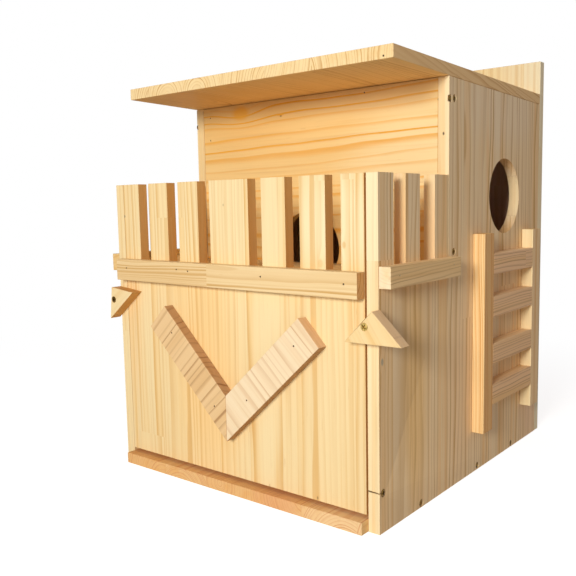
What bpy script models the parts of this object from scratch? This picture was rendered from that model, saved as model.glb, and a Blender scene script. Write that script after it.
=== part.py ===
# Wooden squirrel house with a fenced balcony, a drop-down front and a ladder.
# Metres, +Z up. The front faces -Y. The origin is on the ground, midway between
# the side panels, in the plane of their front edges.

import math

import bmesh
import bpy
from mathutils import Vector

for old in list(bpy.data.objects):
    bpy.data.objects.remove(old, do_unlink=True)

# Boards
BOARD = 0.012              # thickness of every sawn board
FIT = 0.0003               # gap left between faces that touch
OVERRUN = 0.002            # how far a cutter runs past the wood it leaves

# House body
HOUSE_WIDTH = 0.350        # over the outer faces of the side panels
PANEL_DEPTH = 0.376        # front to back of a side panel
BACK_HEIGHT = 0.464        # the back board stands above the roof to be screwed to a tree
BALCONY_DEPTH = 0.132      # from the front edges to the upper front wall
LEDGE = 0.011              # how far the floor board stands out in front

# Roof
ROOF_SETBACK = 0.0265      # front edge of the roof behind the front plane
EAVES_DROP = 0.044         # from the top of the back board down to the front of the roof's underside
ROOF_FALL = 0.0075         # drop of the roof from front to back

# Entrance hole in the right side panel
ENTRANCE_RADIUS = 0.042
ENTRANCE_SETBACK = 0.0165  # centre of the hole behind the middle of the tall body
ENTRANCE_DROP = 0.119      # centre of the hole below the front of the roof

# Balcony. The slots between the pickets end level with the top of the front batten.
BATTEN_HEIGHT = 0.0235
BATTEN_OVERHANG = 0.0025   # left end of the front batten past the flap
BATTEN_TILT = 0.0022       # its left end sits this much higher than its right end
FLOOR_DROP = 0.0075        # top of the balcony floor below the top of the front batten
PICKET_HEIGHT = 0.0855     # pickets above the front batten
DOOR_RADIUS = 0.042        # same saw as the entrance
DOOR_CENTRE_RISE = 0.017   # centre of the arch above the balcony floor
SIDE_BATTEN_RISE = 0.005   # top of the side battens above the front batten
SIDE_BATTEN_HEIGHT = 0.0193
LEFT_BATTEN_RISE = 0.002   # the left side batten sits this much higher than the right one
SIDE_BATTEN_TAIL = 0.003   # how far a side batten runs past the upper front edge

# Comb of the front flap
FLAP_GAP = 0.002           # play on the right of the flap
FLAP_LEFT_GAP = 0.0005     # it sits close to the left side panel
FLAP_LIFT = 0.0035         # gap between the flap and the floor board
SLOT = 0.017
PICKET = 0.0295
CENTRE_PICKET = 0.053
END_PICKET_MIN = 0.012     # a narrower end picket would break off

# Comb of each side panel
CORNER_POST = 0.026
SIDE_SLOT_FRONT = 0.021
SIDE_PICKET = 0.0265
SIDE_SLOT_REAR = 0.0295
KERF = 0.001               # saw cut that frees the last picket from the body

# Mitred V on the flap
V_POINT_HEIGHT = 0.0565
V_MITRE = 0.0477           # height of the joint between the two arms
V_CLEARANCE = 0.047        # from the front batten down to the outer corner of each arm
V_LEFT_REACH = 0.111
V_RIGHT_REACH = 0.119

# Turn-button latches
LATCH_THICKNESS = 0.0137
LEFT_LATCH_LEG = 0.0366    # both short sides of the right-angled triangle
RIGHT_LATCH_LEG = 0.041
LATCH_SETBACK_SHARE = 0.375  # screw below the right-angle corner, of the leg
LATCH_WALL = 0.0007        # wood between the screw head and the upright leg
LATCH_HEIGHT = 0.2058      # upper legs of both latches when they hang square
LATCH_CLEARANCE = 0.0072   # from there up to the front batten
LEFT_SCREW_OUT = 0.002     # left latch screw outside the middle of the panel's edge
LEFT_LATCH_TURN = math.radians(6.7)
RIGHT_LATCH_TURN = math.radians(44.6)

# Screws
HEAD_RADIUS = 0.0035
SHANK_RADIUS = 0.0017
HEAD_RISE = 0.0005
TIP_LENGTH = 0.003
LATCH_SCREW = 0.030
HINGE_SCREW = 0.028
HINGE_HEIGHT = 0.0375
SCREW_SIDES = 24
HOLE_SIDES = 64

# Ladder on the right side panel
LADDER_THICKNESS = 0.0137
RAIL_WIDTH = 0.023
RAIL_FOOT = 0.0465         # feet of the rails above the ground
RAIL_LAP = 0.0025          # top of the rails above the bottom of the entrance
RUNG_LENGTH = 0.112
RUNG_HEIGHT = 0.0225
RUNG_SHARES = (0.845, 0.630, 0.389, 0.179)  # centres of the rungs up the rails, top first
LADDER_FORWARD = 0.0035    # ladder centre in front of the centre of the entrance

half_width = HOUSE_WIDTH / 2
inner_half = half_width - BOARD
flap_right = inner_half - FLAP_GAP
flap_left = FLAP_LEFT_GAP - inner_half
edge_centre = half_width - BOARD / 2
batten_foot = LATCH_HEIGHT + LATCH_CLEARANCE
batten_top = batten_foot + BATTEN_HEIGHT
picket_top = batten_top + PICKET_HEIGHT
floor_level = batten_top - FLOOR_DROP
eaves_height = BACK_HEIGHT - EAVES_DROP
entrance_y = (BALCONY_DEPTH + PANEL_DEPTH) / 2 + ENTRANCE_SETBACK
entrance_z = eaves_height - ENTRANCE_DROP


def roof_underside(y):
    """Height of the roof's lower face at a distance y behind the front plane."""
    fall = ROOF_FALL / (PANEL_DEPTH - ROOF_SETBACK)
    return eaves_height - fall * (y - ROOF_SETBACK)


def material(name, colour, roughness, metallic=0.0):
    """A Principled material that is found again by its name."""
    found = bpy.data.materials.get(name)
    if found:
        return found
    made = bpy.data.materials.new(name)
    made.use_nodes = True
    shader = made.node_tree.nodes["Principled BSDF"]
    shader.inputs["Base Color"].default_value = (*colour, 1)
    shader.inputs["Roughness"].default_value = roughness
    shader.inputs["Metallic"].default_value = metallic
    made.diffuse_color = (*colour, 1)
    return made


def add_object(name, bm, finish):
    """Closes a bmesh into a named object with one material."""
    bmesh.ops.recalc_face_normals(bm, faces=bm.faces)
    mesh = bpy.data.meshes.new(name)
    bm.to_mesh(mesh)
    bm.free()
    made = bpy.data.objects.new(name, mesh)
    bpy.context.scene.collection.objects.link(made)
    if finish:
        mesh.materials.append(finish)
    return made


# Where an outline's two axes and its thickness lie for boards that face each way.
FACING = {
    "front": lambda u, v, w: Vector((u, w, v)),
    "side": lambda u, v, w: Vector((w, u, v)),
    "level": lambda u, v, w: Vector((u, v, w)),
}


def board(name, outline, facing, start, thickness, finish):
    """Extrudes an outline from start through thickness, across the way it faces."""
    place = FACING[facing]
    bm = bmesh.new()
    face = bm.faces.new([bm.verts.new(place(u, v, start)) for u, v in outline])
    swept = bmesh.ops.extrude_face_region(bm, geom=[face])["geom"]
    bmesh.ops.translate(bm, vec=place(0, 0, thickness),
                        verts=[part for part in swept if isinstance(part, bmesh.types.BMVert)])
    return add_object(name, bm, finish)


def rectangle(u0, v0, u1, v1):
    return [(u0, v0), (u1, v0), (u1, v1), (u0, v1)]


def turned(name, profile, sides, finish=None):
    """Turns a profile of (radius, height) points about Z. Its ends lie on the axis."""
    bm = bmesh.new()
    rings = []
    for radius, height in profile[1:-1]:
        angles = [2 * math.pi * step / sides for step in range(sides)]
        rings.append([bm.verts.new((radius * math.cos(a), radius * math.sin(a), height)) for a in angles])
    top = bm.verts.new((0, 0, profile[0][1]))
    bottom = bm.verts.new((0, 0, profile[-1][1]))
    for step in range(sides):
        after = (step + 1) % sides
        bm.faces.new((top, rings[0][step], rings[0][after]))
        bm.faces.new((bottom, rings[-1][after], rings[-1][step]))
        for upper, lower in zip(rings, rings[1:]):
            bm.faces.new((upper[step], lower[step], lower[after], upper[after]))
    return add_object(name, bm, finish)


def cut(target, cutter):
    """Subtracts a cutter, which stays as a wire guide that isn't rendered."""
    cutter.hide_render = True
    cutter.display_type = "WIRE"
    knife = target.modifiers.new(cutter.name, "BOOLEAN")
    knife.operation = "DIFFERENCE"
    knife.solver = "EXACT"
    knife.object = cutter


def screw_profile(length):
    """A raised countersunk head at height 0, then a shank and a short point."""
    head_depth = HEAD_RADIUS - SHANK_RADIUS
    return [
        (0, HEAD_RISE),
        (HEAD_RADIUS / 2, HEAD_RISE * 3 / 4),
        (HEAD_RADIUS, 0),
        (SHANK_RADIUS, -head_depth),
        (SHANK_RADIUS, TIP_LENGTH - length),
        (0, -length),
    ]


def screw_hole_profile(length):
    """The countersink and bore that a screw of this length sits in."""
    bore = SHANK_RADIUS + FIT
    mouth = HEAD_RADIUS + FIT
    return [
        (0, OVERRUN),
        (mouth + OVERRUN, OVERRUN),
        (mouth, 0),
        (bore, bore - mouth),
        (bore, -length - FIT),
        (0, -length - FIT),
    ]


def screw(name, length, location, turn, targets):
    """Places a screw by its head and cuts its hole in each piece it passes."""
    made = turned(name, screw_profile(length), SCREW_SIDES, zinc)
    made.data.shade_smooth()
    made.data.set_sharp_from_angle(angle=math.radians(30))
    hole = turned(name + "_hole", screw_hole_profile(length), SCREW_SIDES)
    for item in (made, hole):
        item.location = location
        item.rotation_euler = turn
    for target in targets:
        cut(target, hole)
    return made


def comb(pickets, base):
    """Top edge of a comb from its pickets' (start, end) pairs, left to right."""
    edge = []
    for start, end in pickets:
        edge += [(start, batten_top), (start, picket_top), (end, picket_top), (end, batten_top)]
    return [(pickets[0][0], base)] + edge[1:-1] + [(pickets[-1][1], base)]


pine = material("pine", (0.82, 0.60, 0.33), 0.55)
pine_end = material("pine_pale", (0.86, 0.67, 0.40), 0.6)
zinc = material("yellow_zinc", (0.72, 0.55, 0.25), 0.35, 1.0)

# Floor board, between the side panels, with a ledge in front
board("floor_board", rectangle(FIT - inner_half, -LEDGE, inner_half - FIT, PANEL_DEPTH - FIT),
      "level", 0, BOARD, pine)

# Side panels: a tall rear body and a low front part that ends in three pickets
side_edges = [0, CORNER_POST]
for step in (SIDE_SLOT_FRONT, SIDE_PICKET, SIDE_SLOT_REAR):
    side_edges.append(side_edges[-1] + step)
side_edges.append(BALCONY_DEPTH - KERF)
side_pickets = list(zip(side_edges[::2], side_edges[1::2]))
back_edge = PANEL_DEPTH - FIT
side_outline = comb(side_pickets, 0)[:-1] + [
    (BALCONY_DEPTH - KERF, batten_top),
    (BALCONY_DEPTH, batten_top),
    (BALCONY_DEPTH, roof_underside(BALCONY_DEPTH) - FIT),
    (back_edge, roof_underside(back_edge) - FIT),
    (back_edge, 0),
]
left_panel = board("left_side_panel", side_outline, "side", -half_width, BOARD, pine)
right_panel = board("right_side_panel", side_outline, "side", inner_half, BOARD, pine)

entrance = turned("entrance_hole", [(0, BOARD), (ENTRANCE_RADIUS, BOARD),
                                    (ENTRANCE_RADIUS, -BOARD), (0, -BOARD)], HOLE_SIDES)
entrance.location = (edge_centre, entrance_y, entrance_z)
entrance.rotation_euler.y = math.pi / 2
cut(right_panel, entrance)

# Back board, which stands up behind the roof
board("back_panel", rectangle(-half_width, 0, half_width, BACK_HEIGHT), "front", PANEL_DEPTH, BOARD, pine)

# Roof board, square in front and cut plumb against the back board
roof_outline = [
    (ROOF_SETBACK, eaves_height),
    (ROOF_SETBACK, eaves_height + BOARD),
    (back_edge, roof_underside(back_edge) + BOARD),
    (back_edge, roof_underside(back_edge)),
]
board("roof_board", roof_outline, "side", -half_width, HOUSE_WIDTH, pine)

# Upper front wall, which stands on the balcony floor over an arched doorway
door_spring = math.asin(min(1, DOOR_CENTRE_RISE / DOOR_RADIUS))
door_steps = HOLE_SIDES // 2
door_arc = [math.pi + door_spring - (math.pi + 2 * door_spring) * step / door_steps
            for step in range(door_steps + 1)]
wall_half = inner_half - FIT
wall_foot = floor_level + FIT
wall_top = roof_underside(BALCONY_DEPTH + BOARD) - FIT
arch_height = floor_level + DOOR_CENTRE_RISE
arch = [(DOOR_RADIUS * math.cos(a), max(wall_foot, arch_height + DOOR_RADIUS * math.sin(a))) for a in door_arc]
wall_outline = [(-wall_half, wall_foot)] + arch + [
    (wall_half, wall_foot), (wall_half, wall_top), (-wall_half, wall_top)]
board("upper_front_wall", wall_outline, "front", BALCONY_DEPTH, BOARD, pine)

# Balcony floor, from the flap to the back of the upper front wall
board("balcony_floor", rectangle(-wall_half, BOARD + FIT, wall_half, BALCONY_DEPTH + BOARD),
      "level", floor_level - BOARD, BOARD, pine)

# Front flap: one board with a comb of pickets, a wide one in the middle
half_pickets = []
start = CENTRE_PICKET / 2 + SLOT
for step in range(int((flap_right - start - END_PICKET_MIN) / (PICKET + SLOT))):
    half_pickets.append((start, start + PICKET))
    start += PICKET + SLOT
flap_pickets = [(flap_left, -start)] + [(-end, -begin) for begin, end in reversed(half_pickets)]
flap_pickets += [(-CENTRE_PICKET / 2, CENTRE_PICKET / 2)] + half_pickets + [(start, flap_right)]
flap = board("front_flap", comb(flap_pickets, BOARD + FLAP_LIFT), "front", 0, BOARD, pine)

# Battens at balcony level
applied_front = -BOARD - FIT
batten_left = flap_left - BATTEN_OVERHANG
batten_outline = [(batten_left, batten_foot + BATTEN_TILT), (flap_right, batten_foot),
                  (flap_right, batten_top), (batten_left, batten_top + BATTEN_TILT)]
board("front_batten", batten_outline, "front", applied_front, BOARD, pine)
side_batten_top = batten_top + SIDE_BATTEN_RISE
for name, start, rise in (("left_side_batten", -half_width - FIT - BOARD, LEFT_BATTEN_RISE),
                          ("right_side_batten", half_width + FIT, 0)):
    side_batten_outline = rectangle(0, side_batten_top + rise - SIDE_BATTEN_HEIGHT,
                                    BALCONY_DEPTH + SIDE_BATTEN_TAIL, side_batten_top + rise)
    board(name, side_batten_outline, "side", start, BOARD, pine)

# The V: two arms that meet in a plumb mitre, each with a square outer end
end_z = batten_foot - V_CLEARANCE
for name, side, reach in (("v_arm_left", -1, V_LEFT_REACH), ("v_arm_right", 1, V_RIGHT_REACH)):
    slope = math.atan2(end_z - V_POINT_HEIGHT, reach)
    arm_width = V_MITRE * math.cos(slope)
    arm = [
        (side * FIT / 2, V_POINT_HEIGHT),
        (side * reach, end_z),
        (side * (reach - arm_width * math.sin(slope)), end_z + arm_width * math.cos(slope)),
        (side * FIT / 2, V_POINT_HEIGHT + V_MITRE),
    ]
    board(name, arm, "front", applied_front, BOARD, pine_end)

# Latches: right-angled triangles that turn on a screw in the edge of each side panel
latch_inset = HEAD_RADIUS + FIT + LATCH_WALL
for side_name, centre, leg, turn, panel in (
        ("left", -edge_centre - LEFT_SCREW_OUT, LEFT_LATCH_LEG, LEFT_LATCH_TURN, left_panel),
        ("right", edge_centre, RIGHT_LATCH_LEG, RIGHT_LATCH_TURN, right_panel)):
    setback = leg * LATCH_SETBACK_SHARE
    latch_outline = [(-latch_inset, setback), (leg - latch_inset, setback), (-latch_inset, setback - leg)]
    latch = board(side_name + "_latch", latch_outline, "front", 0, LATCH_THICKNESS, pine)
    latch.location = (centre, -LATCH_THICKNESS - FIT, LATCH_HEIGHT - setback)
    latch.rotation_euler.y = turn
    screw(side_name + "_latch_screw", LATCH_SCREW, latch.location, (math.pi / 2, 0, 0), (latch, panel))

# Hinge screws: driven through the side panels into the edges of the flap
for side_name, side, panel in (("left", -1, left_panel), ("right", 1, right_panel)):
    screw(side_name + "_hinge_screw", HINGE_SCREW, (side * half_width, BOARD / 2, HINGE_HEIGHT),
          (0, side * math.pi / 2, 0), (panel, flap))

# Ladder: two rails with the rungs let in between them, fixed flat on the side panel
ladder_centre = entrance_y - LADDER_FORWARD
ladder_x = half_width + FIT
rail_offset = RUNG_LENGTH / 2 + FIT
rail_top = entrance_z - ENTRANCE_RADIUS + RAIL_LAP
for name, start in (("ladder_front_rail", ladder_centre - rail_offset - RAIL_WIDTH),
                    ("ladder_rear_rail", ladder_centre + rail_offset)):
    board(name, rectangle(start, RAIL_FOOT, start + RAIL_WIDTH, rail_top),
          "side", ladder_x, LADDER_THICKNESS, pine)
for number, share in enumerate(RUNG_SHARES, 1):
    middle = RAIL_FOOT + share * (rail_top - RAIL_FOOT)
    outline = rectangle(ladder_centre - RUNG_LENGTH / 2, middle - RUNG_HEIGHT / 2,
                        ladder_centre + RUNG_LENGTH / 2, middle + RUNG_HEIGHT / 2)
    board("ladder_rung_%d" % number, outline, "side", ladder_x, LADDER_THICKNESS, pine_end)
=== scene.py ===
import math

import bmesh
import bpy
from mathutils import Euler, Matrix, Vector


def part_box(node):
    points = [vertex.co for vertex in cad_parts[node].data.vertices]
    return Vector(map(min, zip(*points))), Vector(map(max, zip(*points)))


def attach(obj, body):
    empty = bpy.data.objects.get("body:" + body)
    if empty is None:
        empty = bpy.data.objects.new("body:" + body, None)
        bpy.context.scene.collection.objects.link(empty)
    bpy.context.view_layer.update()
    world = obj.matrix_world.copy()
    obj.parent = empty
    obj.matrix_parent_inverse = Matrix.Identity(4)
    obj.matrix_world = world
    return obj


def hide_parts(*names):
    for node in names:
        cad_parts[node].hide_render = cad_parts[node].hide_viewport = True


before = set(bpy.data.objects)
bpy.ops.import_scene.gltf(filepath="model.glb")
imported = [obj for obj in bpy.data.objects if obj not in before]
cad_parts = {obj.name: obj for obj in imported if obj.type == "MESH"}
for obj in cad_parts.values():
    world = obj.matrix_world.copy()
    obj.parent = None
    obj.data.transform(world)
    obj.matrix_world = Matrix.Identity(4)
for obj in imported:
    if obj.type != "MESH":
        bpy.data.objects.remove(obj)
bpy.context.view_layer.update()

# Wooden nest house with a picket balcony: the finish, the eased boards,
# the screws and brads, the light and the camera. Metres, +Z up, front towards -Y.

scene = bpy.context.scene
mm = 0.001
front, right, left = Vector((0, -1, 0)), Vector((1, 0, 0)), Vector((-1, 0, 0))


# shader nodes

class Socket:
    # wraps one output; arithmetic on it adds Math nodes
    def __init__(self, output):
        self.output = output

    def other(self, name):  # another output of the same node
        return Socket(self.output.node.outputs[name])

    def node(self, kind, settings, values, give=0):  # any node: type, settings, sockets, output
        tree = self.output.id_data
        made = tree.nodes.new(kind)
        for key, value in settings.items():
            setattr(made, key, value)
        for key, value in values.items():
            if isinstance(value, Socket):
                tree.links.new(value.output, made.inputs[key])
            elif isinstance(value, tuple) and made.inputs[key].type == "RGBA":
                made.inputs[key].default_value = (*value, 1)
            else:
                made.inputs[key].default_value = value
        return Socket(made.outputs[give]) if made.outputs else None

    def maths(self, operation, *values, before=()):
        terms = enumerate((*before, self, *values))
        return self.node("ShaderNodeMath", {"operation": operation}, dict(terms))

    def __add__(self, value):
        return self.maths("ADD", value)

    def __sub__(self, value):
        return self.maths("SUBTRACT", value)

    def __mul__(self, value):
        return self.maths("MULTIPLY", value)

    def __truediv__(self, value):
        return self.maths("DIVIDE", value)

    def __rsub__(self, value):
        return self.maths("SUBTRACT", before=(value,))

    __radd__ = __add__
    __rmul__ = __mul__

    def step(self, low, high):  # a soft step that is 0 at low and 1 at high
        return self.node("ShaderNodeMapRange", {"interpolation_type": "SMOOTHSTEP"},
                         {"Value": self, "From Min": low, "From Max": high})

    def blend(self, first, second, way="MIX"):  # this socket picks between two colours
        # inputs 6 and 7 and output 2 are the colour sockets of the Mix node
        return self.node("ShaderNodeMix", {"data_type": "RGBA", "blend_type": way},
                         {0: self, 6: first, 7: second}, 2)

    def parts(self):  # the three parts of a vector
        split = self.node("ShaderNodeSeparateXYZ", {}, {"Vector": self})
        return split, split.other("Y"), split.other("Z")

    def vector(self, operation, values, give=0):
        return self.node("ShaderNodeVectorMath", {"operation": operation},
                         dict(enumerate((self, *values))), give)

    def noise(self, stretch, detail, rough):  # noise on coordinates that are stretched first
        spread = self.vector("MULTIPLY", (stretch,))
        return spread.node("ShaderNodeTexNoise", {},
                           {"Vector": spread, "Scale": 1.0, "Detail": detail, "Roughness": rough})

    def whiteNoise(self, kind, values, give=0):  # kind is 1D, 3D or 4D
        return self.node("ShaderNodeTexWhiteNoise", {"noise_dimensions": kind}, values, give)

    def bump(self, strength, distance):  # this socket is the height
        return self.node("ShaderNodeBump", {},
                         {"Strength": strength, "Distance": distance, "Height": self})


def newMaterial(name):
    material = bpy.data.materials.new(name)
    material.use_nodes = True
    shader = material.node_tree.nodes["Principled BSDF"]
    place = Socket(material.node_tree.nodes.new("ShaderNodeTexCoord").outputs["Object"])
    return material, shader, place


def finishShader(material, shader, colour, rough, bump):
    for name, value in (("Base Color", colour), ("Roughness", rough), ("Normal", bump)):
        material.node_tree.links.new(value.output, shader.inputs[name])


# Pine: growth rings are cylinders about a pith line. Boards are glued up from staves
# with finger joints, and every block between joints gets its own piece of the tree.
pineLook = {
    "turn": (0, 0, 0),             # degrees, brings the grain onto Z and the face to Y
    "seed": 1,
    "stave": 0.044,                # width of a stave
    "block": 0.30,                 # length between finger joints
    "shift": (0, 0, 0),            # metres in the turned axes: across, depth, along
    "ring": 0.0052,                # width of a growth ring
    "pith": (0.018, 0.050),        # nearest pith behind the face, and its further spread
    "aside": -0.100,               # least sideways place of the pith
    "spread": 0.200,               # and its further spread
    "wave": 0.0026,                # wander of the rings
    "taper": 0.007,                # how fast rings run out along the grain
    "lateFrom": 0.30,              # where in a ring the dark line starts to build
    "lateShare": 0.85,             # strength of the ring lines
    "even": 0.0,                   # 1 makes every year's line equally dark
    "faceLines": 1.0,              # how clearly the rings show on the two wide faces
    "edgeLines": 0.5,              # on edges sawn along the grain
    "endLines": 1.0,               # and on sawn ends
    "early": (0.95, 0.77, 0.44),   # wood laid down in spring
    "late": (0.74, 0.42, 0.12),    # the darker line that ends each ring
    "warm": (0.90, 0.60, 0.24),    # tone of the warmer blocks and bands
    "warmShare": 0.22,             # how much the blocks differ in tone
    "bandShare": 0.55,             # soft warm bands along the grain
    "streakShare": 0.32,           # fine darker streaks
    "face": (1.0, 1.0, 1.0),       # tint of the two wide faces
    "edge": (1.0, 1.0, 1.0),       # tint of edges sawn along the grain
    "end": (0.90, 0.77, 0.60),     # tint of sawn ends
    "rim": (1.0, 1.0, 1.0),        # tint of all that isn't a wide face
    "shine": 0.08,                 # specular level of bare sanded wood
    "knots": (),                   # place in the house's axes, radius, colour, share
    "patches": (),                 # soft areas: place, half size, colour, share, part of the board
}

# The fine grain that all boards share.
grainLook = {
    # each noise: its stretch across, through and along the grain, its detail and roughness
    "wander": ((22, 22, 4.5), 2, 0.5),
    "strength": ((40, 40, 6), 2, 0.5),  # where the ring lines are strong or faint
    "band": ((75, 75, 1.6), 3, 0.55),
    "streak": ((190, 190, 5), 2, 0.6),
    "resin": ((700, 700, 45), 1, 0.5),  # short dark lines
    "fibre": ((950, 950, 16), 3, 0.65),
    # the values between which each of them fades in
    "strengthStep": (0.25, 0.75),
    "bandStep": (0.45, 0.72),
    "streakStep": (0.50, 0.85),
    "resinStep": (0.74, 0.80),
    "shadeStep": (0.35, 0.75),
    "fibreStep": (0.56, 0.86),
    "facingStep": (0.70, 0.95),    # how squarely a face lies to count as edge, face or end
    "slide": 7,                    # blocks by which a stave's joints may be moved along
    "faintest": 0.55,              # strength of the ring lines where they are faint
    "luck": (0.25, 0.8, 0.5),      # a year's least darkness, its spread, what even years gain
    "yearNoise": (0.45, 30, 1.6),  # years of uneven width: scale, spread between blocks, amount
    "lateTo": 0.90,                # where in a ring the dark line is full
    "lateEnd": (0.93, 1.0),        # and between which places it ends
    "knotLong": 0.62,              # under 1 draws knots out along the grain
    "knotRim": (0.5, 1.25),        # radii between which a knot fades out
    "knotReach": 4,                # radii out to which the rings bend round a knot
    "knotPush": 0.8,               # and by which share of its radius
    "patchRim": (0.3, 1),          # half sizes between which a patch fades out
    "patchWander": 0.8,
    "shadeTint": (0.97, 0.94, 0.88),
    "shadeShare": 0.30,
    "fibreShare": 0.28,
    "resinShare": 0.35,
    "streakColour": (0.70, 0.43, 0.17),
    "glueColour": (0.62, 0.40, 0.20),
    "glueShare": 0.30,
    "glueWide": 0.35 * mm,
    "rough": (0.52, 0.14, 0.08, 0.12),  # and its change by fibres, late wood and sawn ends
    "heights": (0.5, 0.8, 0.4),    # of fibres and late wood, and the depth of resin
    "relief": 0.25 * mm,
    "bump": 0.35,
}


def pineMaterial(name, changes):
    look = {**pineLook, **changes}
    grain = grainLook
    material, shader, place = newMaterial(name)
    turn = Euler([math.radians(angle) for angle in look["turn"]])
    local = place.node("ShaderNodeMapping", {"vector_type": "POINT"},
                       {"Vector": place, "Location": look["shift"], "Rotation": turn})
    facing = place.node("ShaderNodeMapping", {"vector_type": "VECTOR"},
                        {"Vector": place.other("Normal"), "Rotation": turn})
    across, depth, along = local.parts()
    squarely = [part.maths("ABSOLUTE") for part in facing.parts()]
    edges, faces, ends = (part.step(*grain["facingStep"]) for part in squarely)

    # staves, the blocks between their finger joints, and each block's own chances
    strip = (across / look["stave"] + 0.5).maths("FLOOR")
    slide = strip.whiteNoise("1D", {"W": strip + look["seed"]})
    block = (along / look["block"] + slide * grain["slide"]).maths("FLOOR")
    key = strip.node("ShaderNodeCombineXYZ", {}, {"X": strip, "Y": block, "Z": look["seed"] + 0.5})
    chance = key.whiteNoise("3D", {"Vector": key}, "Color")
    sideways, deep, tone = chance.parts()
    grainPlace = local.vector("ADD", (chance.vector("SCALE", ()),))

    # distance from the pith
    inStave = across - strip * look["stave"]
    drift = grainPlace.noise(*grain["wander"]).other("Color")
    driftAcross, driftDepth, driftRing = drift.vector("SUBTRACT", ((0.5, 0.5, 0.5),)).parts()
    wave, (nearest, further) = look["wave"], look["pith"]
    sideGap = inStave - sideways * look["spread"] - look["aside"] + driftAcross * (wave * 2)
    depthGap = depth + nearest + deep * further + driftDepth * (wave * 2)
    radius = (sideGap * sideGap + depthGap * depthGap).maths("SQRT")
    radius = radius + along * ((tone - 0.5) * (2 * look["taper"])) + driftRing * wave

    knots = []
    squash, (rimFrom, rimTo) = grain["knotLong"], grain["knotRim"]
    for spot, size, tint, share in look["knots"]:
        middle = turn.to_matrix() @ Vector(spot) + Vector(look["shift"])
        flat = local.vector("MULTIPLY", ((1, 1, squash),))
        gap = flat.vector("DISTANCE", ((middle.x, middle.y, middle.z * squash),), "Value")
        bend = 1 - gap.step(0, size * grain["knotReach"])
        radius = radius + bend * (size * grain["knotPush"])
        knots.append(((1 - gap.step(size * rimFrom, size * rimTo)) * share, tint))

    # years, and how dark the line is that ends each of them
    years = radius / look["ring"]
    scale, apart, amount = grain["yearNoise"]
    uneven = years.node("ShaderNodeTexNoise", {"noise_dimensions": "1D"},
                        {"W": years * scale + deep * apart, "Scale": 1.0, "Detail": 1.0})
    years = years + uneven * amount
    ring, year = years.maths("FRACT"), years.maths("FLOOR")
    luck = key.whiteNoise("4D", {"Vector": key, "W": year})
    late = ring.step(look["lateFrom"], grain["lateTo"]) * (1 - ring.step(*grain["lateEnd"]))
    strong = grainPlace.noise(*grain["strength"]).step(*grain["strengthStep"])
    clear = strong * (1 - grain["faintest"]) + grain["faintest"]
    least, chances, gain = grain["luck"]
    dark = luck * luck * (chances * (1 - look["even"])) + (least + gain * look["even"])
    lateShare = late * clear * dark * look["lateShare"]
    for part, lines in ((edges, "edgeLines"), (faces, "faceLines"), (ends, "endLines")):
        lateShare = lateShare * (1 - part * (1 - look[lines]))

    # fibres, fine streaks, short dark resin lines and glue lines
    fibre = grainPlace.noise(*grain["fibre"])
    streak = grainPlace.noise(*grain["streak"]).step(*grain["streakStep"])
    band = grainPlace.noise(*grain["band"])
    resin = grainPlace.noise(*grain["resin"]).step(*grain["resinStep"])
    seam = inStave.maths("ABSOLUTE").step(look["stave"] / 2 - grain["glueWide"], look["stave"] / 2)

    colour = (tone * look["warmShare"]).blend(look["early"], look["warm"])
    colour = (band.step(*grain["bandStep"]) * look["bandShare"]).blend(colour, look["warm"])
    where = {"all": 1, "faces": faces, "edges": edges, "rim": 1 - faces}
    for spot, size, tint, share, part in look["patches"]:
        offset = place.vector("SUBTRACT", (spot,)).vector("DIVIDE", (size,))
        gap = offset.vector("LENGTH", (), "Value")
        inside = 1 - (gap + (band - 0.5) * grain["patchWander"]).step(*grain["patchRim"])
        colour = (inside * share * where[part]).blend(colour, tint)
    colour = lateShare.blend(colour, look["late"])
    colour = (streak * look["streakShare"]).blend(colour, grain["streakColour"])
    shade = fibre.step(*grain["shadeStep"]) * grain["shadeShare"]
    colour = shade.blend(colour, grain["shadeTint"], "MULTIPLY")
    lines = fibre.step(*grain["fibreStep"]) * grain["fibreShare"]
    colour = lines.blend(colour, grain["streakColour"])
    colour = (resin * grain["resinShare"]).blend(colour, grain["streakColour"])
    colour = (seam * grain["glueShare"]).blend(colour, grain["glueColour"])
    for part, tint in ((ends, "end"), (edges, "edge"), (faces, "face"), (1 - faces, "rim")):
        colour = part.blend(colour, look[tint], "MULTIPLY")
    for share, tint in knots:
        colour = share.blend(colour, tint)

    base, fibreRough, lateSmooth, endRough = grain["rough"]
    rough = base + fibre * fibreRough - late * lateSmooth + ends * endRough
    fibreHigh, lateHigh, resinDeep = grain["heights"]
    height = fibre * fibreHigh + lateShare * lateHigh - resin * resinDeep
    finishShader(material, shader, colour, rough, height.bump(grain["bump"], grain["relief"]))
    shader.inputs["Specular IOR Level"].default_value = look["shine"]
    return material


# yellow zinc screws; a much darker copy of that zinc, partly dull metal and partly painted shade
# for screws that sit in shade and in dark recesses; and dark brads
brightZincLook = {"bright": (0.66, 0.46, 0.15), "dull": (0.32, 0.21, 0.05), "rough": 0.30}
dullAndShadedZincLook = {"bright": (0.24, 0.13, 0.02), "dull": (0.035, 0.018, 0.004), "rough": 0.36}
darkBradLook = {"bright": (0.10, 0.085, 0.07), "dull": (0.045, 0.035, 0.03), "rough": 0.6}
metalGrain = {
    "cloud": ((420, 420, 420), 3, 0.6),      # stretch, detail and roughness of the noise
    "cloudStep": (0.35, 0.7),
    "roughSpread": (-0.1, 0.25),
    "scratch": ((2600, 2600, 2600), 2, 0.5),
    "bump": 0.2,
    "relief": 0.05 * mm,
}


def metalMaterial(name, look):
    material, shader, place = newMaterial(name)
    cloud = place.noise(*metalGrain["cloud"])
    colour = cloud.step(*metalGrain["cloudStep"]).blend(look["bright"], look["dull"])
    least, spread = metalGrain["roughSpread"]
    rough = cloud * spread + (look["rough"] + least)
    scratch = place.noise(*metalGrain["scratch"])
    bump = scratch.bump(metalGrain["bump"], metalGrain["relief"])
    finishShader(material, shader, colour, rough, bump)
    shader.inputs["Metallic"].default_value = 1.0
    return material


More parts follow.
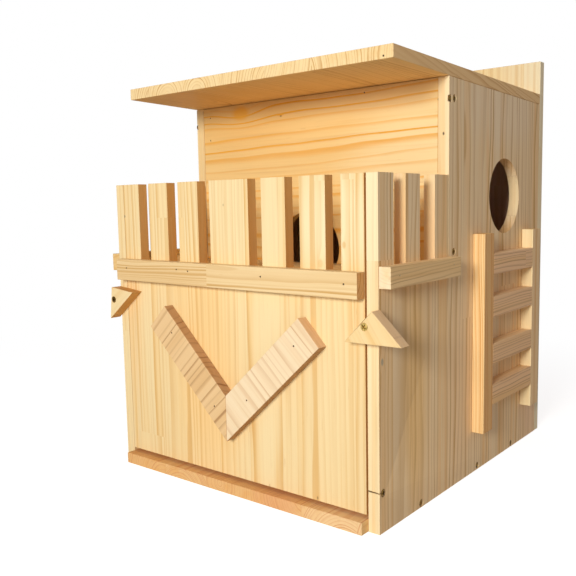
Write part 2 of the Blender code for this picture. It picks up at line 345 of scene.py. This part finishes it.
brightZinc = metalMaterial("yellowZinc", brightZincLook)
dullAndShadedZinc = metalMaterial("dullAndShadedZinc", dullAndShadedZincLook)
darkSteel = metalMaterial("darkBrad", darkBradLook)


# meshes

smoothBelow = math.radians(14)  # softer corners than this are shaded smooth


def addPiece(name, bm, material, body):
    mesh = bpy.data.meshes.new(name)
    bm.to_mesh(mesh)
    bm.free()
    piece = bpy.data.objects.new(name, mesh)
    scene.collection.objects.link(piece)
    mesh.materials.append(material)
    for face in mesh.polygons:
        face.use_smooth = True
    mesh.set_sharp_from_angle(angle=smoothBelow)
    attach(piece, body)
    return piece


def aimed(axis):
    # turns +Z to the axis
    return Vector(axis).to_track_quat("Z", "Y").to_matrix().to_4x4()


boardLook = {
    "merge": 0.002 * mm,           # doubles of the CAD mesh closer than this
    "flatBelow": math.radians(0.5),
    "sharpFrom": math.radians(25),
    "ease": 0.55 * mm,             # rounding of every outer arris
}


def easedBoard(name, node, material, body="house", pits=()):
    # the CAD board, merged, with its outer arrises rounded and pits sunk for brads and screws
    bm = bmesh.new()
    bm.from_mesh(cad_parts[node].data)
    bmesh.ops.remove_doubles(bm, verts=bm.verts, dist=boardLook["merge"])
    bmesh.ops.dissolve_limit(bm, angle_limit=boardLook["flatBelow"], verts=bm.verts, edges=bm.edges)
    arrises = [e for e in bm.edges if e.is_convex and e.calc_face_angle(0) > boardLook["sharpFrom"]]
    bmesh.ops.bevel(bm, geom=arrises, offset=boardLook["ease"], offset_type="OFFSET",
                    affect="EDGES", segments=2, profile=0.5, material=-1, clamp_overlap=True)
    piece = addPiece(name, bm, material, body)
    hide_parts(node)
    if pits:
        sinkPits(piece, pits)
    return piece


def sinkPits(piece, pits):
    # one short round cutter across the surface at each place
    bm = bmesh.new()
    for place, axis, radius, deep in pits:
        bmesh.ops.create_cone(bm, cap_ends=True, segments=20, radius1=radius, radius2=radius,
                              depth=deep * 2, matrix=Matrix.Translation(place) @ aimed(axis))
    cutWith(piece, bm)


def cutWith(piece, bm):
    # cuts the bmesh out of the piece
    mesh = bpy.data.meshes.new("pits")
    bm.to_mesh(mesh)
    bm.free()
    cutter = bpy.data.objects.new("pits", mesh)
    scene.collection.objects.link(cutter)
    knife = piece.modifiers.new("pits", "BOOLEAN")
    knife.operation, knife.solver, knife.object = "DIFFERENCE", "EXACT", cutter
    bpy.context.view_layer.update()
    ready = piece.evaluated_get(bpy.context.evaluated_depsgraph_get())
    finished = bpy.data.meshes.new_from_object(ready)
    piece.modifiers.clear()
    piece.data = finished
    bpy.data.objects.remove(cutter)


# small fasteners

screwLook = {
    "rise": 0.35 * mm,             # of the head above its rim
    "armLong": 0.60,               # half length of the recess, a share of the head's radius
    "armWide": 0.17,               # and its half width
    "recessFloor": 0.6,            # the recess narrows to this share
    "shank": 0.48,                 # a share of the head's radius
    "crest": 1.25,                 # of the thread, against the shank
    "point": 0.12,
    "turns": 8,                    # of thread
    "neckEnd": 0.35,               # this and the rest are shares of the length
    "turnsFrom": 0.38,
    "turnsLong": 0.5,
    "turnHalf": 0.018,             # from the foot of a turn to its crest
    "pointFrom": 0.9,
}


def crossScrew(name, place, axis, radius, length, node=None, twist=0.0,
               finish=dullAndShadedZinc, recess=0.8):
    # a raised countersunk head with a cross recess, its cone, shank, turns of thread and point
    look = screwLook
    bm = bmesh.new()
    rim = bmesh.ops.create_circle(bm, segments=32, radius=radius)["verts"]
    rimEdges = list({e for v in rim for e in v.link_edges})
    grid = bmesh.ops.create_grid(bm, x_segments=3, y_segments=3, size=1.0)["verts"]
    longArm, wideArm = radius * look["armLong"], radius * look["armWide"]
    for v in grid:
        for k in (0, 1):
            v.co[k] = math.copysign(longArm if abs(v.co[k]) > 0.5 else wideArm, v.co[k])
        v.co.z = look["rise"]
    middles = [(f, f.calc_center_median()) for f in bm.faces]
    corners = [f for f, middle in middles if abs(middle.x) > wideArm and abs(middle.y) > wideArm]
    bmesh.ops.delete(bm, geom=corners, context="FACES")
    loose = [v for v in bm.verts if not v.link_edges]
    bmesh.ops.delete(bm, geom=loose, context="VERTS")
    crossFaces = list(bm.faces)
    crossEdges = [e for f in crossFaces for e in f.edges if len(e.link_faces) == 1]
    bmesh.ops.bridge_loops(bm, edges=list(dict.fromkeys(crossEdges)) + rimEdges)
    sunk = bmesh.ops.extrude_face_region(bm, geom=crossFaces)["geom"]
    bmesh.ops.delete(bm, geom=crossFaces, context="FACES_ONLY")
    low = [v for v in sunk if isinstance(v, bmesh.types.BMVert)]
    bmesh.ops.translate(bm, verts=low, vec=(0, 0, -radius * recess))
    bmesh.ops.scale(bm, verts=low, vec=(look["recessFloor"], look["recessFloor"], 1))

    # below the rim, each row is a radius and a height
    shank = radius * look["shank"]
    rows = [(shank, -(radius - shank)), (shank, -length * look["neckEnd"])]
    for number in range(look["turns"]):
        at = -length * (look["turnsFrom"] + look["turnsLong"] * number / look["turns"])
        rows += [(shank, at), (shank * look["crest"], at - length * look["turnHalf"]),
                 (shank, at - length * 2 * look["turnHalf"])]
    rows += [(shank, -length * look["pointFrom"]), (shank * look["point"], -length)]
    edges, width, height = rimEdges, radius, 0.0
    for newWidth, newHeight in rows:
        grown = bmesh.ops.extrude_edge_only(bm, edges=edges)["geom"]
        verts = [v for v in grown if isinstance(v, bmesh.types.BMVert)]
        edges = [e for e in grown if isinstance(e, bmesh.types.BMEdge)]
        bmesh.ops.scale(bm, verts=verts, vec=(newWidth / width, newWidth / width, 1))
        bmesh.ops.translate(bm, verts=verts, vec=(0, 0, newHeight - height))
        width, height = newWidth, newHeight
    bmesh.ops.edgeloop_fill(bm, edges=edges)
    bmesh.ops.recalc_face_normals(bm, faces=bm.faces)
    bm.transform(Matrix.Translation(place) @ aimed(axis) @ Matrix.Rotation(twist, 4, "Z"))
    piece = addPiece(name, bm, finish, "house")
    if node:
        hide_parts(node)


bradLook = {
    "head": 0.80 * mm,
    "headTaper": 0.9,              # its underside against its top
    "headDeep": 0.5 * mm,
    "shank": 0.45 * mm,
    "point": 0.1 * mm,
    "length": 14 * mm,
    "sunk": 0.80 * mm,             # below the wood's surface
    "pit": 0.95 * mm,
    "pitDepth": 1.1 * mm,
}


def brads(name, places, axis):
    # sunk brads in one board, each a flat head on a thin shank
    bm = bmesh.new()
    for place in places:
        start = Matrix.Translation(Vector(place) - Vector(axis) * bradLook["sunk"]) @ aimed(axis)
        bmesh.ops.create_cone(bm, cap_ends=True, segments=12, radius2=bradLook["head"],
                              radius1=bradLook["head"] * bradLook["headTaper"],
                              depth=bradLook["headDeep"], matrix=start)
        below = start @ Matrix.Translation((0, 0, -bradLook["length"] / 2))
        bmesh.ops.create_cone(bm, cap_ends=True, segments=8, radius1=bradLook["point"],
                              radius2=bradLook["shank"], depth=bradLook["length"], matrix=below)
    addPiece(name, bm, darkSteel, "house")


def pitsFor(places, axis, radius=bradLook["pit"], deep=bradLook["pitDepth"]):
    return [(Vector(place), axis, radius, deep) for place in places]


def mirrored(places):
    return [(-x, y, z) for x, y, z in places]


print("boards")
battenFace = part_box("front_batten")[0].y
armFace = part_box("v_arm_left")[0].y
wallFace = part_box("upper_front_wall")[0].y
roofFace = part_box("roof_board")[0].y
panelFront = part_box("right_side_panel")[0].y
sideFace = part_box("right_side_panel")[1].x
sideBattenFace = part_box("right_side_batten")[1].x

# places of the brads
battenBrads = [(x * mm, battenFace, z * mm) for x, z in
               ((-148, 229), (-66, 230.7), (-49, 229.4), (51, 228.3), (147, 226))]
armBrads = {"left": [(-0.077, armFace, 0.162), (-0.016, armFace, 0.091)],
            "right": [(0.090, armFace, 0.165), (0.029, armFace, 0.104)]}
wallBrads = [(x * mm, wallFace, z * mm) for x, z in ((-152, 378), (-151.5, 405.5), (77, 412))]
roofBrads = [(0.165, roofFace, 0.4226)]
sideBattenBrads = [(sideBattenFace, 0.016, 0.233), (sideBattenFace, 0.120, 0.235)]

# screws through the side panels; the right one has a second screw at the top
bothSides = [(sideFace, y * mm, z * mm) for y, z in
             ((134.2, 396), (143.6, 245.6), (76, 4.3), (204, 4.6), (299, 4.3))]
rightScrews = [*bothSides, (sideFace, 0.1434, 0.397)]
leftScrews = mirrored(bothSides)
sideScrewLook = {
    "head": 3.4 * mm,
    "length": 30 * mm,
    "sunk": 0.45 * mm,
    "twist": 0.37,                 # radians from each screw to the next
    "pit": 3.9 * mm,
    "pitDepth": 1.6 * mm,
}

hingeLow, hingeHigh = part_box("right_hinge_screw")
hingePlace = (sideFace, (hingeLow.y + hingeHigh.y) / 2, (hingeLow.z + hingeHigh.z) / 2)
wide, deep = sideScrewLook["pit"], sideScrewLook["pitDepth"]
rightPits = pitsFor([*rightScrews, hingePlace], right, wide, deep)
leftPits = pitsFor(mirrored([*bothSides, hingePlace]), left, wide, deep)

# where the grain lies for a board that faces the front, a side or upwards
uprightFront, uprightSide = (0, 0, 0), (0, 0, 90)
levelFront, levelSide = (0, 90, 0), (90, 0, 90)
frontToBack, sideToSide = (90, 0, 0), (0, 90, 90)

onePlank = {"stave": 0.3, "block": 2}  # a small piece, sawn from one plank without joints
knotColour, speckColour = (0.74, 0.42, 0.11), (0.10, 0.06, 0.035)

# Each board: its CAD node, slot, body and pits, and what differs from pineLook.
boards = {
    "floorBoard": {
        "node": "floor_board",
        "look": {
            "turn": frontToBack, "seed": 3, "stave": 0.0637, "block": 2, "shift": (0.0012, 0, 0),
            "ring": 0.0030, "pith": (-0.03, 0.05), "aside": -0.045, "spread": 0.09,
            "lateFrom": 0.5, "lateShare": 1.0, "faceLines": 1.2,
            "late": (0.74, 0.36, 0.18), "warmShare": 0.6,
            # the top face is painted darker and browner, standing for the shade under the flap
            "face": (0.84, 0.64, 0.50), "edge": (0.90, 0.70, 0.50), "end": (0.92, 0.74, 0.60),
            "patches": (
                ((0.14, -0.011, 0.006), (0.07, 0.03, 0.03), (1.0, 0.88, 0.58), 0.85, "all"),
                ((0.062, -0.011, 0.006), (0.04, 0.03, 0.03), (0.90, 0.56, 0.36), 0.45, "all"),
            ),
        },
    },
    "leftPanel": {
        "node": "left_side_panel", "pits": leftPits,
        "look": {
            "turn": uprightSide, "seed": 11, "block": 0.42,
            "patches": (
                # painted shade: the inner face is darker and warmer, so the inside seen through the
                # entrance looks dark
                ((-0.163, 0.28, 0.23), (0.011, 0.20, 0.34), (0.92, 0.56, 0.26), 0.9, "faces"),
            ),
        },
    },
    "rightPanel": {
        "node": "right_side_panel", "pits": rightPits,
        "look": {
            "turn": uprightSide, "seed": 23, "stave": 0.047, "block": 0.90,
            "ring": 0.0042, "aside": 0.04, "spread": 0.14, "wave": 0.0036, "taper": 0.006,
            "lateFrom": 0.45, "lateShare": 1.0, "even": 0.25, "edgeLines": 0.25,
            "early": (1.0, 0.77, 0.47), "late": (0.56, 0.29, 0.06), "warm": (0.96, 0.62, 0.28),
            "bandShare": 0.85, "streakShare": 0.6,
            "edge": (1.0, 1.08, 1.10),
            "knots": (
                ((0.175, 0.0057, 0.157), 0.0022, (0.42, 0.40, 0.30), 0.7),
                ((0.169, 0.132, 0.3625), 0.0011, speckColour, 0.9),
            ),
            "patches": (
                # warm strips low on the outer face
                ((0.175, 0.0645, 0.12), (0.02, 0.030, 0.17), (0.96, 0.62, 0.25), 0.75, "faces"),
                ((0.175, 0.158, 0.10), (0.02, 0.050, 0.13), (1.0, 0.70, 0.40), 0.6, "faces"),
                ((0.175, 0.365, 0.09), (0.02, 0.060, 0.14), (1.0, 0.67, 0.42), 0.7, "faces"),
                # painted shade: the sides of the pickets are darker and more orange, standing for
                # the warm shade between them
                ((0.169, 0.070, 0.27), (0.03, 0.060, 0.10), (0.90, 0.54, 0.27), 0.85, "edges"),
                # round the entrance and in its bore, painted shade: darker and warmer; then a paler
                # area above the entrance
                ((0.169, 0.2705, 0.301), (0.04, 0.09, 0.09), (1.0, 0.71, 0.41), 0.9, "rim"),
                ((0.175, 0.26, 0.40), (0.02, 0.14, 0.06), (1.0, 0.82, 0.58), 0.5, "faces"),
                # painted shade in the split: a dark line along it
                ((0.1675, 0, 0.0385), (0.012, 0.007, 0.0012), (0.16, 0.09, 0.03), 0.9, "all"),
            ),
        },
    },
    "backBoard": {
        "node": "back_panel",
        "look": {
            "turn": uprightFront, "seed": 31, "shift": (0, -0.38, 0),
            "lateShare": 0.5,
            "early": (1.0, 0.88, 0.60),
            "patches": (
                ((0.09, 0.376, 0.45), (0.055, 0.02, 0.06), (1.0, 0.80, 0.44), 0.8, "all"),
                # painted shade: the face inside the house is darker and warmer, so the inside seen
                # through the entrance looks dark
                ((0.02, 0.376, 0.26), (0.40, 0.011, 0.15), (1.0, 0.66, 0.50), 0.95, "faces"),
            ),
        },
    },
    "roofBoard": {
        "node": "roof_board", "pits": pitsFor(roofBrads, front),
        "look": {
            "turn": (100, 0, 0), "seed": 41, "stave": 0.058, "block": 2, "shift": (0, 0.4217, 0),
            "ring": 0.0036, "pith": (-0.014, 0.03), "aside": -0.07, "spread": 0.14,
            "lateFrom": 0.45, "lateShare": 1.1, "faceLines": 0.7, "edgeLines": 0.9,
            "early": (0.98, 0.76, 0.39), "late": (0.62, 0.33, 0.10), "bandShare": 0.4,
            "streakShare": 0.2,
            "face": (1.0, 0.97, 0.92), "edge": (1.0, 0.91, 0.92), "end": (0.97, 0.97, 1.02),
            "shine": 0.02,
            "knots": (
                ((0.1873, 0.135, 0.4215), 0.0040, (0.60, 0.36, 0.17), 0.5),
                ((0.1873, 0.225, 0.4170), 0.0050, (0.55, 0.32, 0.14), 0.5),
            ),
            "patches": (
                # painted shade: the underside is warmer and darker, standing for the warm bounced
                # light under the roof, then its left part once more
                ((0, 0.06, 0.4155), (0.6, 0.3, 0.009), (1.0, 0.68, 0.29), 0.8, "faces"),
                ((-0.14, 0.04, 0.417), (0.15, 0.11, 0.010), (0.80, 0.47, 0.14), 0.5, "faces"),
            ),
        },
    },
    "upperWall": {
        "node": "upper_front_wall", "pits": pitsFor(wallBrads, front),
        "look": {
            "turn": levelFront, "seed": 51, "stave": 0.40, "block": 2, "shift": (-0.24, -0.132, 0),
            "ring": 0.0115, "pith": (0.020, 0.0), "aside": 0.0, "spread": 0.0, "wave": 0.007,
            "taper": 0.06,
            "lateFrom": 0.6, "lateShare": 1.5,
            "early": (0.97, 0.70, 0.31), "late": (0.86, 0.40, 0.04), "warmShare": 0.4,
            "bandShare": 0.7,
            "knots": (
                ((-0.100, 0.132, 0.4065), 0.0090, (0.92, 0.46, 0.06), 0.85),
                ((-0.0373, 0.132, 0.398), 0.0011, speckColour, 0.5),
            ),
            "patches": (
                # pale on the right; painted shade under the roof, warmer and darker along the top
                ((0.14, 0.131, 0.345), (0.12, 0.03, 0.09), (1.0, 0.80, 0.44), 0.75, "faces"),
                ((-0.12, 0.131, 0.41), (0.18, 0.03, 0.07), (0.84, 0.50, 0.16), 0.6, "faces"),
                ((0.09, 0.131, 0.415), (0.15, 0.03, 0.035), (0.88, 0.57, 0.24), 0.7, "faces"),
            ),
        },
    },
    "balconyFloor": {
        "node": "balcony_floor",
        "look": {
            "turn": sideToSide, "seed": 61, "shift": (0, -0.22, 0),
        },
    },
    "frontFlap": {
        "node": "front_flap",
        "look": {
            "turn": uprightFront, "seed": 71, "stave": 0.043, "block": 0.80,
            # the sides of the pickets: darker and more saturated, partly sawn wood and partly
            # painted shade between the pickets
            "edge": (0.80, 0.58, 0.36),
            "knots": (
                ((-0.1622, 0, 0.2865), 0.0011, speckColour, 0.9),
                ((-0.0068, 0, 0.297), 0.0009, speckColour, 0.3),
                ((0.106, 0, 0.0182), 0.0011, speckColour, 0.5),
                ((0.046, 0, 0.0165), 0.0011, speckColour, 0.2),
                ((0.1396, 0, 0.2594), 0.0022, knotColour, 0.5),
                ((0.1135, 0, 0.242), 0.0030, knotColour, 0.35),
            ),
            "patches": (
                # two warm staves, and paler pickets
                ((-0.035, 0, 0.12), (0.065, 0.02, 0.17), (0.98, 0.66, 0.29), 0.8, "faces"),
                ((-0.158, 0, 0.15), (0.025, 0.02, 0.11), (0.97, 0.68, 0.34), 0.6, "faces"),
                ((0.14, 0, 0.28), (0.085, 0.02, 0.06), (1.0, 0.86, 0.54), 0.7, "faces"),
            ),
        },
    },
    "frontBatten": {
        "node": "front_batten", "pits": pitsFor(battenBrads, front),
        "look": {
            "turn": levelFront, "seed": 83, "stave": 0.2, "block": 0.5, "shift": (-0.2248, 0, -0.1),
            "ring": 0.0028, "aside": 0.008, "spread": 0.02, "wave": 0.004, "taper": 0.012,
            "lateShare": 1.2,
            "early": (0.92, 0.72, 0.40), "late": (0.64, 0.37, 0.12), "warm": (0.82, 0.56, 0.27),
            "warmShare": 0.5,
            "end": (0.78, 0.60, 0.46),
            "patches": (
                ((-0.11, -0.0135, 0.221), (0.11, 0.03, 0.014), (0.80, 0.55, 0.26), 0.5, "all"),
            ),
        },
    },
    "leftBatten": {
        "node": "left_side_batten",
        "look": {
            "turn": levelSide, "seed": 91, "stave": 0.2, "block": 0.5, "shift": (-0.232, 0.18, 0),
        },
    },
    "rightBatten": {
        "node": "right_side_batten", "pits": pitsFor(sideBattenBrads, right),
        "look": {
            "turn": levelSide, "seed": 93, "stave": 0.2, "block": 0.5, "shift": (-0.232, -0.18, 0),
            "ring": 0.0032, "pith": (-0.01, 0.02), "aside": 0.022, "spread": 0.01, "wave": 0.010,
            "taper": 0.02,
            "lateFrom": 0.5, "lateShare": 0.95, "even": 0.5, "endLines": 0.3,
            "early": (1.0, 0.76, 0.45), "late": (0.46, 0.26, 0.10),
            "face": (1.0, 0.94, 0.84), "end": (1.0, 1.08, 1.25),
        },
    },
    "leftArm": {
        "node": "v_arm_left", "slot": "pine_pale", "pits": pitsFor(armBrads["left"], front),
        "look": {
            "turn": (0, -45, 0), "seed": 101, **onePlank,
            "ring": 0.0085, "wave": 0.006,
            "lateFrom": 0.6, "lateShare": 1.4, "edgeLines": 1.0,
            "early": (0.88, 0.62, 0.33), "late": (0.50, 0.29, 0.13), "warm": (0.74, 0.46, 0.20),
            "edge": (0.92, 0.86, 0.82), "end": (0.64, 0.54, 0.50),
        },
    },
    "rightArm": {
        "node": "v_arm_right", "slot": "pine_pale", "pits": pitsFor(armBrads["right"], front),
        "look": {
            "turn": (0, 47, 0), "seed": 111, **onePlank,
            "ring": 0.0090, "wave": 0.006,
            "lateFrom": 0.5, "lateShare": 1.1,
            "early": (0.97, 0.80, 0.54), "late": (0.70, 0.45, 0.24), "warm": (0.90, 0.66, 0.40),
            "edge": (0.90, 0.77, 0.69), "end": (0.55, 0.40, 0.29),
        },
    },
    "leftLatch": {
        "node": "left_latch", "body": "left_latch",
        "look": {
            "turn": (0, -52, 0), "seed": 121, **onePlank,
            "lateShare": 0.6,
            "end": (1, 1, 1), "rim": (0.76, 0.52, 0.29),
        },
    },
    "rightLatch": {
        "node": "right_latch", "body": "right_latch",
        "look": {
            "turn": (0, 33, 0), "seed": 131, "stave": 0.028, "block": 2,
            "ring": 0.0036,
            "lateShare": 0.4,
            "warmShare": 0.5,
            "end": (1, 1, 1), "rim": (1.0, 0.92, 1.0),
        },
    },
    "frontRail": {
        "node": "ladder_front_rail",
        "look": {
            "turn": uprightSide, "seed": 141, **onePlank, "shift": (0.199, -0.18, 0),
            "ring": 0.0034, "pith": (0.02, 0.02), "aside": 0.02, "spread": 0.02, "wave": 0.0045,
            "lateShare": 1.2, "even": 0.5, "edgeLines": 0.9,
            "early": (1.0, 0.79, 0.44), "late": (0.76, 0.36, 0.08),
            # the sides are painted darker and browner, standing for the shade on them
            "face": (0.91, 0.73, 0.58), "edge": (1.0, 0.95, 0.91),
        },
    },
    "rearRail": {
        "node": "ladder_rear_rail",
        "look": {
            "turn": uprightSide, "seed": 151, **onePlank, "shift": (0.33, -0.18, 0),
            "ring": 0.0040, "pith": (0.02, 0.02), "aside": 0.02, "spread": 0.02,
            "lateShare": 0.8,
            # paler, partly paler wood and partly painted light on the front face, which lies partly
            # in the front rail's shadow
            "early": (1.0, 0.83, 0.50), "bandShare": 0.2,
            "face": (1.0, 0.88, 0.82),
        },
    },
}

rungLook = {
    "turn": levelSide, **onePlank, "shift": (0, -0.18, 0),
    "ring": 0.0030, "aside": -0.025, "spread": 0.05, "wave": 0.005, "taper": 0.02,
    "lateFrom": 0.45, "lateShare": 1.0, "even": 0.6,
    "early": (1.0, 0.71, 0.43), "late": (0.46, 0.24, 0.09), "face": (1.0, 0.93, 0.88),
}
for number in range(1, 5):
    boards["rung%d" % number] = {"node": "ladder_rung_%d" % number, "slot": "pine_pale",
                                 "look": {**rungLook, "seed": 160 + number}}

pieces = {}
for name, board in boards.items():
    finish = pineMaterial(name + "Pine", board["look"])
    pieces[name] = easedBoard(name, board["node"], finish, board.get("body", "house"),
                              board.get("pits", ()))

splitLook = {
    "place": (0.1685, panelFront, 0.0385),
    "slope": math.radians(3.5),
    "half": 0.0068,                # half its length
    "wide": 0.7 * mm,
    "deep": 5 * mm,
}


def splitEdge(piece, look):
    # a fine split in the front edge of a board
    bm = bmesh.new()
    size = Matrix.Diagonal((look["half"] * 2, look["deep"] * 2, look["wide"], 1))
    slope = Matrix.Rotation(look["slope"], 4, "Y")
    bmesh.ops.create_cube(bm, size=1, matrix=Matrix.Translation(look["place"]) @ slope @ size)
    cutWith(piece, bm)


splitEdge(pieces["rightPanel"], splitLook)

print("screws and brads")
latchScrewLook = {
    # the left screw takes the darker zinc, painted shade for a screw that sits in shade
    "left": {"finish": dullAndShadedZinc, "recess": 0.8, "twist": 0.1},
    "right": {"finish": brightZinc, "recess": 0.4, "twist": 0.9},
}
hingeScrewLook = {"short": 0.5 * mm, "twist": 0.2}  # shorter than its CAD node, to stay inside it
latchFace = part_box("left_latch")[0].y
for side, sign in (("left", -1), ("right", 1)):
    low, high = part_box(side + "_latch_screw")
    crossScrew(side + "LatchScrew", ((low.x + high.x) / 2, latchFace, (low.z + high.z) / 2), front,
               (high.x - low.x) / 2, high.y - latchFace, node=side + "_latch_screw",
               **latchScrewLook[side])
    low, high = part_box(side + "_hinge_screw")
    crossScrew(side + "HingeScrew", (sign * sideFace, (low.y + high.y) / 2, (low.z + high.z) / 2),
               right * sign, (high.y - low.y) / 2, (high.x - low.x) - hingeScrewLook["short"],
               node=side + "_hinge_screw", twist=hingeScrewLook["twist"])
for number, place in enumerate(rightScrews + leftScrews):
    axis = right if place[0] > 0 else left
    seat = Vector(place) - axis * sideScrewLook["sunk"]
    crossScrew("boardScrew%d" % (number + 1), seat, axis, sideScrewLook["head"],
               sideScrewLook["length"], twist=sideScrewLook["twist"] * number)
brads("battenBrads", battenBrads, front)
brads("armBrads", armBrads["left"] + armBrads["right"], front)
brads("wallBrads", wallBrads, front)
brads("roofBrads", roofBrads, front)
brads("sideBattenBrads", sideBattenBrads, right)

print("floor, light and camera")
stageLook = {
    "floor": (0.60, 0.60, 0.60),
    "lift": 0.78,                  # glow of the floor near the house, where its shadow falls
    "near": 0.45,                  # from here the floor fades to white
    "far": 1.1,
    "size": 30,
    "world": 0.275,
    "worldColour": (1.0, 0.89, 0.88),
    "white": (1.0, 1.0, 1.0),
}


def eyeRays(tree):
    # 1 for what the camera sees, also in metal and through glass
    ray = Socket(tree.nodes.new("ShaderNodeLightPath").outputs["Is Camera Ray"])
    mirrors, glass = ray.other("Is Glossy Ray"), ray.other("Is Transmission Ray")
    return ray.maths("MAXIMUM", mirrors).maths("MAXIMUM", glass)


def addFloor():
    bm = bmesh.new()
    bmesh.ops.create_grid(bm, x_segments=2, y_segments=2, size=stageLook["size"])
    mesh = bpy.data.meshes.new("floor")
    bm.to_mesh(mesh)
    bm.free()
    floor = bpy.data.objects.new("floor", mesh)
    scene.collection.objects.link(floor)
    material = bpy.data.materials.new("floor")
    material.use_nodes = True
    tree = material.node_tree
    tree.nodes.clear()
    seen = eyeRays(tree)
    matt = seen.node("ShaderNodeBsdfDiffuse", {}, {"Color": stageLook["floor"]})
    lift = seen.node("ShaderNodeEmission", {},
                     {"Color": stageLook["white"], "Strength": seen * stageLook["lift"]})
    both = seen.node("ShaderNodeAddShader", {}, {0: matt, 1: lift})
    # the floor fades to plain white away from the house, as the backdrop does
    place = Socket(tree.nodes.new("ShaderNodeTexCoord").outputs["Object"])
    away = place.vector("LENGTH", (), "Value").step(stageLook["near"], stageLook["far"])
    white = seen.node("ShaderNodeEmission", {}, {"Color": stageLook["white"], "Strength": 1.0})
    surface = seen.node("ShaderNodeMixShader", {}, {0: seen * away, 1: both, 2: white})
    seen.node("ShaderNodeOutputMaterial", {}, {"Surface": surface})
    mesh.materials.append(material)


def addWorld():
    world = bpy.data.worlds.new("studio")
    scene.world = world
    world.use_nodes = True
    tree = world.node_tree
    tree.nodes.clear()
    seen = eyeRays(tree)
    soft = seen.node("ShaderNodeBackground", {},
                     {"Color": stageLook["worldColour"], "Strength": stageLook["world"]})
    white = seen.node("ShaderNodeBackground", {}, {"Color": stageLook["white"], "Strength": 1.0})
    surface = seen.node("ShaderNodeMixShader", {}, {0: seen, 1: soft, 2: white})
    seen.node("ShaderNodeOutputWorld", {}, {"Surface": surface})


lampLook = {
    "place": (0.54, -1.86, 0.76),
    "aim": (0, 0.1, 0.22),
    "size": 0.55,
    "power": 31.0,
    "colour": (1.0, 0.99, 0.96),
}


def addKeyLamp():
    lamp = bpy.data.lights.new("key", "AREA")
    lamp.shape, lamp.size = "DISK", lampLook["size"]
    lamp.energy, lamp.color = lampLook["power"], lampLook["colour"]
    holder = bpy.data.objects.new("key", lamp)
    holder.location = lampLook["place"]
    ray = Vector(lampLook["aim"]) - Vector(lampLook["place"])
    holder.rotation_euler = ray.to_track_quat("-Z", "Y").to_euler()
    scene.collection.objects.link(holder)


cameraLook = {
    "place": (0.5077, -0.5352, 0.2952),
    "yaw": 0.6800,                 # radians
    "pitch": -0.1124,
    "roll": -0.0203,
    "lens": 45.69,                 # millimetres, on a sensor of this width
    "sensor": 36,
    "clip": (0.02, 100),
}


def addCamera():
    look = cameraLook
    data = bpy.data.cameras.new("camera")
    data.sensor_width, data.lens = look["sensor"], look["lens"]
    data.clip_start, data.clip_end = look["clip"]
    camera = bpy.data.objects.new("camera", data)
    yaw, pitch = look["yaw"], look["pitch"]
    flat = math.cos(pitch)
    ahead = Vector((-math.sin(yaw) * flat, math.cos(yaw) * flat, math.sin(pitch)))
    turn = ahead.to_track_quat("-Z", "Y").to_matrix().to_4x4()
    roll = Matrix.Rotation(look["roll"], 4, "Z")
    camera.matrix_world = Matrix.Translation(look["place"]) @ turn @ roll
    scene.collection.objects.link(camera)
    scene.camera = camera


addFloor()
addWorld()
addKeyLamp()
addCamera()
scene.view_settings.view_transform = "Standard"

print("finished")
